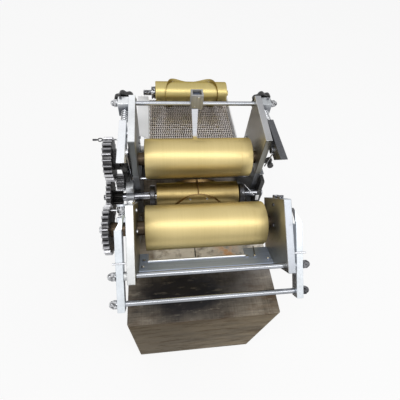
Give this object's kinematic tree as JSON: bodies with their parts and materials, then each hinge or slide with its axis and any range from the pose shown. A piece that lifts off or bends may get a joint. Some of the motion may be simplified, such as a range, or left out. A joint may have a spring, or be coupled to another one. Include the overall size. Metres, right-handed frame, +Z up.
{
  "type": "tortilla maker",
  "caption": "Table-top dough sheeter and tortilla cutter: two brass rollers, a ribbed cutting drum, a wire belt and a swing-open head on a steel cabinet.",
  "frame": {"origin": "centre of the cabinet's underside", "axes": "+X along the rollers away from the gears, +Y from the operator's side to the belt's far end, +Z up"},
  "size_m": [0.4284, 0.6436, 0.674],
  "materials": {
    "stainless": "brushed",
    "brass": "turned and brushed",
    "alloy": "machined",
    "bright_steel": "polished",
    "gear_steel": "dark, machined teeth",
    "black_metal": "satin black",
    "black_plastic": "satin",
    "belt_wire": "woven wire",
    "white_metal": "satin white",
    "spring_steel": "drawn wire"
  },
  "bodies": {
    "frame": {"base_box": "stainless", "base_cover": "stainless", "lower_plate_left": "alloy", "lower_plate_right": "alloy", "rear_plate_left": "alloy", "rear_plate_right": "alloy", "pivot_bracket_left": "alloy", "pivot_bracket_right": "alloy", "bearing_housing_left": "alloy", "bearing_housing_right": "black_metal", "cross_bar": "bright_steel", "belt": "belt_wire", "conveyor_rail_left": "white_metal", "conveyor_rail_right": "white_metal", "rear_tie_rod": "bright_steel", "lug_block_left": "alloy", "lug_block_right": "alloy", "front_arm_guide_left": "bright_steel", "front_arm_guide_right": "bright_steel", "rear_arm_guide_left": "bright_steel", "rear_arm_guide_right": "bright_steel", "buffer_stop_left": "black_metal", "buffer_stop_right": "black_metal", "finger_clip": "alloy", "scraper_finger": "bright_steel", "draw_spring_left": "spring_steel", "draw_spring_right": "spring_steel"},
    "rear_roller_set": {"rear_roller": "brass", "rear_gear": "gear_steel"},
    "cutting_drum_set": {"die_drum": "brass", "die_shaft": "gear_steel", "die_rib": "brass", "die_gear": "gear_steel", "takeoff_gear": "gear_steel"},
    "belt_pinion": {"pinion": "gear_steel"},
    "belt_drive_roller": {"belt_front_roller": "bright_steel"},
    "belt_end_roller": {"belt_rear_roller": "bright_steel"},
    "draw_arm_left": {"draw_arm_left": "bright_steel"},
    "draw_arm_right": {"draw_arm_right": "bright_steel"},
    "knob_left": {"knob_left": "black_plastic"},
    "knob_right": {"knob_right": "black_plastic"},
    "pull_pin": {"pull_pin": "bright_steel"},
    "spare_drum_set": {"spare_drum": "brass", "spare_rib": "brass"},
    "head": {"front_plate_left": "alloy", "front_plate_right": "alloy", "front_leg_left": "alloy", "front_leg_right": "alloy", "clamp_rod": "bright_steel", "scraper_panel": "stainless", "scraper_blade": "bright_steel", "buffer_lug_left": "alloy", "buffer_lug_right": "alloy", "buffer_spring_left": "spring_steel", "buffer_spring_right": "spring_steel"},
    "clamp_levers": {"clamp_lever_left": "alloy", "clamp_lever_right": "alloy", "handle_bar": "bright_steel"},
    "front_roller_set": {"front_roller": "brass", "front_gear": "gear_steel"}
  },
  "joints": [
    {"name": "rear_roller_spin", "type": "hinge", "parent": "frame", "child": "rear_roller_set", "pos_m": [0, 0.106, 0.557], "axis": [1, 0, 0], "continuous": true},
    {"name": "cutting_drum_spin", "type": "hinge", "parent": "frame", "child": "cutting_drum_set", "pos_m": [0, 0.058, 0.47386], "axis": [1, 0, 0], "continuous": true},
    {"name": "belt_pinion_spin", "type": "hinge", "parent": "frame", "child": "belt_pinion", "pos_m": [0, 0.08346, 0.49932], "axis": [1, 0, 0], "continuous": true},
    {"name": "belt_drive_roller_spin", "type": "hinge", "parent": "frame", "child": "belt_drive_roller", "pos_m": [0, 0.152, 0.5011], "axis": [1, 0, 0], "continuous": true},
    {"name": "belt_end_roller_spin", "type": "hinge", "parent": "frame", "child": "belt_end_roller", "pos_m": [0, 0.387, 0.5011], "axis": [1, 0, 0], "continuous": true},
    {"name": "head_swing", "type": "hinge", "parent": "frame", "child": "head", "pos_m": [0, 0.002, 0.43], "axis": [-1, 0, 0], "range_deg": [0, 38]},
    {"name": "front_roller_spin", "type": "hinge", "parent": "head", "child": "front_roller_set", "pos_m": [0, -0.06989, 0.535], "axis": [1, 0, 0], "continuous": true},
    {"name": "clamp_lever_turn", "type": "hinge", "parent": "head", "child": "clamp_levers", "pos_m": [0, -0.17978, 0.55384], "axis": [1, 0, 0], "range_deg": [0, 30]},
    {"name": "knob_left_turn", "type": "hinge", "parent": "frame", "child": "knob_left", "pos_m": [-0.1665, 0.213, 0.633], "axis": [0, 1, 0], "range_deg": [-288.1, 864.1]},
    {"name": "draw_arm_left_slide", "type": "slide", "parent": "frame", "child": "draw_arm_left", "axis": [0, 1, 0], "range_m": [-0.001, 0.003], "deforming": ["draw_spring_left"]},
    {"name": "knob_right_turn", "type": "hinge", "parent": "frame", "child": "knob_right", "pos_m": [0.1665, 0.213, 0.633], "axis": [0, 1, 0], "range_deg": [-288.1, 864.1]},
    {"name": "draw_arm_right_slide", "type": "slide", "parent": "frame", "child": "draw_arm_right", "axis": [0, 1, 0], "range_m": [-0.001, 0.003], "deforming": ["draw_spring_right"]},
    {"name": "pull_pin_slide", "type": "slide", "parent": "draw_arm_left", "child": "pull_pin", "axis": [-1, 0, 0], "range_m": [0, 0.013]},
    {"name": "spare_drum_lift", "type": "slide", "parent": "frame", "child": "spare_drum_set", "axis": [0, 0, 1], "range_m": [0, 0.12]}
  ],
  "couplings": [
    {"joint": "cutting_drum_spin", "follows": "rear_roller_spin", "ratio": -1},
    {"joint": "front_roller_spin", "follows": "rear_roller_spin", "ratio": -1},
    {"joint": "belt_pinion_spin", "follows": "rear_roller_spin", "ratio": 0.8},
    {"joint": "belt_drive_roller_spin", "follows": "rear_roller_spin", "ratio": -3.3813},
    {"joint": "belt_end_roller_spin", "follows": "rear_roller_spin", "ratio": -3.3813},
    {"joint": "knob_left_turn", "follows": "draw_arm_left_slide", "rad_per_m": 5026.5},
    {"joint": "knob_right_turn", "follows": "draw_arm_right_slide", "rad_per_m": 5026.5}
  ]
}
